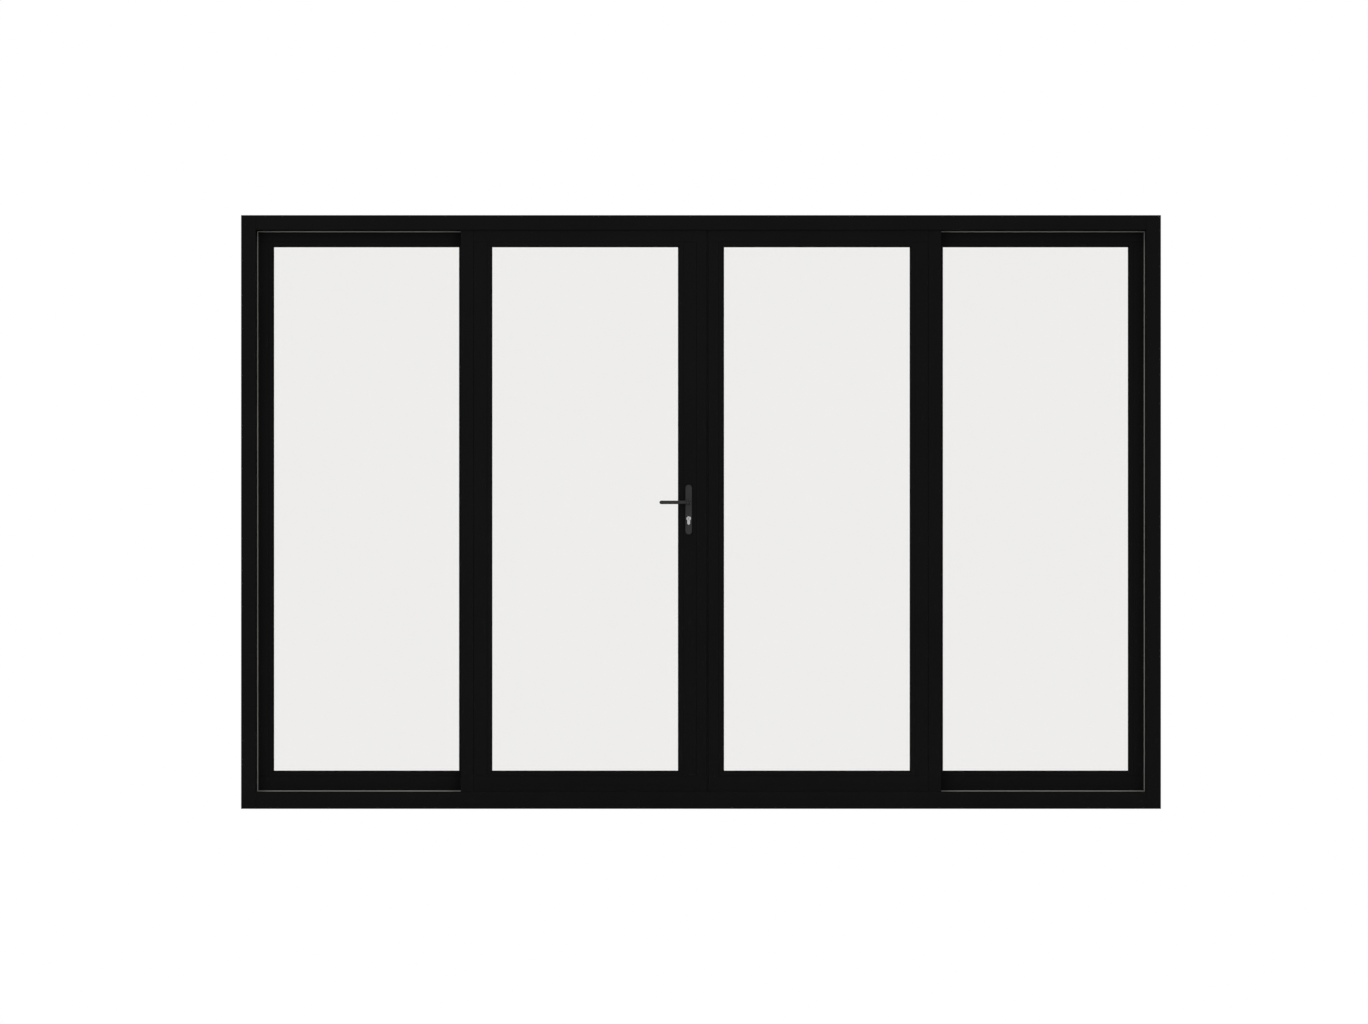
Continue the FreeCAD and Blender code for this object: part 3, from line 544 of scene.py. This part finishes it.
@dataclass
class LeverPair:
    """The two levers: a round neck that bends into a flattened grip with a rounded tip."""

    kit: Kit
    neck: float = 0.0059
    root_half: float = 0.0061
    tip_half: float = 0.0065
    half_depth: float = 0.0048
    bend: float = 0.012
    sunk: float = 0.004
    spindle_half: float = 0.004
    oval_power: float = 2.9
    sides: int = 28
    neck_steps: int = 5
    bend_steps: int = 9
    grip_steps: int = 13
    tip_steps: int = 8
    tip_size: float = 0.06
    tip_flat: float = 0.4

    def build(self) -> None:
        """Replace the plain levers and their spindle."""
        joints = frame["record"]["behaviour"]["joints"]
        joint = next(joint for joint in joints if joint["child"] == Body.LEVER.value)
        self.x, _, self.z = joint["pos_m"]
        low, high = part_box("lever_handle")
        plate_low, plate_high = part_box("handle_plates")
        self.reach = self.x - low[0]
        half = self.spindle_half
        spindle = bar_between(
            (self.x - half, plate_low[1], self.z - half),
            (self.x + half, plate_high[1], self.z + half),
        )
        skins = [self.lever(plate_low[1], low[1]), self.lever(plate_high[1], high[1]), spindle]
        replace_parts(self.kit.add("lever_pair", skins, Body.LEVER, "lever_black", smooth=True), "lever_handle")

    def lever(self, plate: float, face: float) -> Skin:
        """Return one lever from its plate to its tip.

        The path leaves the plate along Y, turns a quarter circle and runs level to the tip. At each step the
        section is an oval across the path: its half sizes go from the round neck to the flattened grip with
        the square of the sine of the turn, and over the tip they shrink with the cosine of a quarter turn.

        Args:
            plate: Depth of the plate's face.
            face: Depth of the lever's outer face.

        Returns:
            One row of points a section.
        """
        out = math.copysign(1.0, face - plate)
        straight = abs(face - plate) - self.half_depth - self.bend
        quarter = math.pi / 2
        turn = np.linspace(0.0, quarter, self.bend_steps + 1)[1:]
        level = np.linspace(self.bend, self.reach - self.tip_half, self.grip_steps + 1)[1:]
        close = np.linspace(0.0, quarter, self.tip_steps + 1)[1:]
        still = np.zeros(self.neck_steps)
        along = np.concatenate(
            [still, self.bend * (1 - np.cos(turn)), level, level[-1] + self.tip_half * np.sin(close)]
        )
        depth = np.concatenate(
            [
                np.linspace(-self.sunk, straight, self.neck_steps),
                straight + self.bend * np.sin(turn),
                np.full(len(level) + len(close), straight + self.bend),
            ]
        )
        angle = np.concatenate([still, turn, np.full(len(level) + len(close), quarter)])
        shrink = np.ones(len(along))
        shrink[-len(close) :] = np.maximum(np.cos(close), self.tip_size)
        share = np.sin(angle) ** 2
        grip = self.root_half + (self.tip_half - self.root_half) * along / self.reach
        height = (self.neck * (1 - share) + grip * share) * shrink
        flatten = self.tip_flat + (1 - self.tip_flat) * shrink
        thick = (self.neck * (1 - share) + self.half_depth * share) * flatten
        power = 2 + (self.oval_power - 2) * share
        side, rise = self.oval(power[:, None])
        side, rise = side * thick[:, None], rise * height[:, None]
        x = self.x - along[:, None] - side * np.cos(angle)[:, None]
        y = plate + out * (depth[:, None] + side * np.sin(angle)[:, None])
        return Skin(np.stack([x, y, self.z + rise], axis=-1))

    def oval(self, power: np.ndarray) -> tuple[np.ndarray, np.ndarray]:
        """Return an oval of half size 1: the cosine and sine of the angle, each to 2 over the power.

        Args:
            power: 2 for a circle, more for a squarer section.

        Returns:
            The two coordinates of each point.
        """
        angle = np.linspace(0.0, 2 * math.pi, self.sides, endpoint=False)
        return tuple(np.sign(wave) * np.abs(wave) ** (2 / power) for wave in (np.cos(angle), np.sin(angle)))


@dataclass
class CylinderFaces:
    """Painted shade on both ends of the lock cylinder: thin black films for the shadow line round the plug and
    for the dark keyway.
    """

    kit: Kit
    plug: float = 0.0049
    line: float = 0.0003
    key_half_height: float = 0.0031
    key_half_width: float = 0.0007
    film: float = 0.00005

    def build(self) -> None:
        """Lay the painted shade films on both ends."""
        low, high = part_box("lock_cylinder")
        x = (low[0] + high[0]) / 2
        z = high[2] - (high[0] - low[0]) / 2
        ring = np.array([self.plug, self.plug + self.line, self.plug + self.line, self.plug])
        skins = []
        for face, out in ((low[1], -1), (high[1], 1)):
            lift = out * self.film
            levels = np.array([0.0, 0.0, lift, lift])
            skins.append(turned_about((x, face, z), 1, ring, levels, looped=True))
            near, far = sorted((face, face + lift))
            tall, wide = self.key_half_height, self.key_half_width
            skins.append(bar_between((x - wide, near, z - tall), (x + wide, far, z + tall)))
            skins.append(bar_between((x - 2 * wide, near, z - tall), (x - wide, far, z - tall / 2)))
        # Black films that paint the shade in the plug's gap and in the keyway
        self.kit.add("cylinder_marks", skins, Body.LEFT_SLIDER, "black_rubber")


@dataclass
class PlateScrews:
    """The two screws that hold the plates together, with their heads on the rear plate and painted shade in
    their cross slots.
    """

    kit: Kit
    inset: float = 0.012
    radius: float = 0.0032
    crown: float = 0.0005
    slot_half: float = 0.0004
    slot_reach: float = 0.0018
    film: float = 0.00005
    rings: tuple[float, ...] = (1.0, 0.94, 0.8)
    rises: tuple[float, ...] = (0.0, 0.7, 1.0)

    def build(self) -> None:
        """Set both heads, and paint the shade in their cross slots as thin black films."""
        low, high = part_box("handle_plates")
        x, face = (low[0] + high[0]) / 2, high[1]
        radii = self.radius * np.array(self.rings)
        places = self.crown * np.array(self.rises)
        heads, slot_shades = [], []
        for z in (low[2] + self.inset, high[2] - self.inset):
            heads.append(turned_about((x, face, z), 1, radii, places))
            near, far = face + self.crown, face + self.crown + self.film
            for wide, tall in ((self.slot_reach, self.slot_half), (self.slot_half, self.slot_reach)):
                slot_shades.append(bar_between((x - wide, near, z - tall), (x + wide, far, z + tall)))
        self.kit.add("plate_screw_heads", heads, Body.LEFT_SLIDER, "lever_black")
        # Black films that paint the shade in the cross slots
        self.kit.add("plate_screw_slots", slot_shades, Body.LEFT_SLIDER, "black_rubber")


@dataclass
class FixingCaps:
    """Push-in caps over the fixing screws in the track face of each jamb."""

    kit: Kit
    track_base: float = 0.028
    depth: float = -0.035
    lowest: float = 0.25
    highest: float = 1.88
    count: int = 5
    radius: float = 0.0065
    dome: float = 0.0012
    rings: tuple[float, ...] = (1.0, 0.9, 0.55)
    rises: tuple[float, ...] = (0.0, 0.6, 1.0)

    def build(self) -> None:
        """Set the caps up both jambs."""
        radii = self.radius * np.array(self.rings)
        rise = self.dome * np.array(self.rises)
        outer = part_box("right_jamb")[1][0]
        skins = [
            turned_about((side * (outer - self.track_base), self.depth, z), 0, radii, -side * rise)
            for side in (-1, 1)
            for z in np.linspace(self.lowest, self.highest, self.count)
        ]
        self.kit.add("fixing_caps", skins, Body.FRAME, "roller_plastic", smooth=True)


class LampKind(Enum):
    """Kinds of studio lamp."""

    PANEL = "AREA"
    BROAD = "SUN"


@dataclass(frozen=True)
class Lamp:
    """One soft lamp that shines at the middle of the door."""

    name: str
    kind: LampKind
    place: Point
    power: float
    spread: float
    aim: Point = (0.0, 0.0, 1.0)

    def build(self) -> None:
        """Hang the lamp: the spread is the panel's side in metres, or the broad light's angle in radians."""
        data = bpy.data.lights.new(self.name, self.kind.value)
        data.energy = self.power
        setattr(data, "size" if self.kind is LampKind.PANEL else "angle", self.spread)
        lamp = bpy.data.objects.new(self.name, data)
        lamp.location = self.place
        across, deep, up = np.array(self.aim) - np.array(self.place)
        pitch = math.atan2(math.hypot(across, deep), -up)
        lamp.rotation_euler = (pitch, 0.0, math.atan2(deep, across) - math.pi / 2)
        bpy.context.scene.collection.objects.link(lamp)


@dataclass
class Studio:
    """Plain floor, soft lamps, pale background and the camera."""

    picture_width: float = 4.908
    middle: tuple[float, float] = (-0.061, 1.065)
    distance: float = 12.0
    farthest: float = 100.0
    floor_reach: float = 30.0
    fill: float = 0.75
    lamps: tuple[Lamp, ...] = (
        Lamp("key", LampKind.PANEL, (-4.5, -6.0, 6.0), 105.0, 4.0),
        Lamp("left_front", LampKind.BROAD, (-3.8, -9.0, 2.6), 0.36, 0.35),
        Lamp("right_front", LampKind.BROAD, (3.8, -9.0, 2.6), 0.42, 0.35),
    )

    def build(self) -> None:
        """Make the whole studio."""
        self.build_floor()
        self.build_world()
        self.build_lamps()
        self.build_camera()

    def build_floor(self) -> None:
        """Lay a large pale floor under the door."""
        mesh = bpy.data.meshes.new("floor")
        reach = self.floor_reach
        corners = [(-reach, -reach, 0.0), (reach, -reach, 0.0), (reach, reach, 0.0), (-reach, reach, 0.0)]
        mesh.from_pydata(corners, [], [(0, 1, 2, 3)])
        floor = bpy.data.objects.new("floor", mesh)
        bpy.context.scene.collection.objects.link(floor)
        finish = Finish("floor_matt", (0.8, 0.8, 0.8), 0.9, specular=0.1, drift=0.01, grain_depth=0.0)
        mesh.materials.append(finish.build())

    def build_world(self) -> None:
        """Light the room evenly and show a white backdrop behind the door."""
        world = bpy.data.worlds.new("studio")
        world.use_nodes = True
        graph = Graph(world.node_tree)
        path = graph.add("LightPath")
        direct = {0: path.outputs["Is Camera Ray"], 1: path.outputs["Is Transmission Ray"]}
        seen = graph.add("Math", direct, operation="MAXIMUM")
        strength = graph.add("MapRange", {"Value": seen.outputs[0], "To Min": self.fill, "To Max": 1.0})
        light = graph.add("Background", {"Color": (1.0, 1.0, 1.0, 1.0), "Strength": strength.outputs[0]})
        graph.add("OutputWorld", {"Surface": light.outputs[0]})
        bpy.context.scene.world = world

    def build_lamps(self) -> None:
        """Hang every lamp of the studio."""
        for lamp in self.lamps:
            lamp.build()

    def build_camera(self) -> None:
        """Set up the level camera that looks straight at the front."""
        data = bpy.data.cameras.new("camera")
        data.type = "ORTHO"
        data.ortho_scale = self.picture_width
        data.clip_end = self.farthest
        camera = bpy.data.objects.new("camera", data)
        camera.location = (self.middle[0], -self.distance, self.middle[1])
        camera.rotation_euler = (math.pi / 2, 0.0, 0.0)
        bpy.context.scene.collection.objects.link(camera)
        bpy.context.scene.camera = camera
        bpy.context.scene.view_settings.view_transform = "Standard"


def main() -> None:
    """Dress the door, build its fine pieces and set up the studio."""
    logging.basicConfig(level=logging.INFO, format="%(message)s")
    materials = Palette().build()
    dress_nodes(materials)
    kit = Kit(materials)
    for group in (GlazingSeals, LipBrushes, MeetingBrush, LeverPair, CylinderFaces, PlateScrews, FixingCaps):
        group(kit).build()
    Studio().build()


if __name__ == "__main__":
    main()
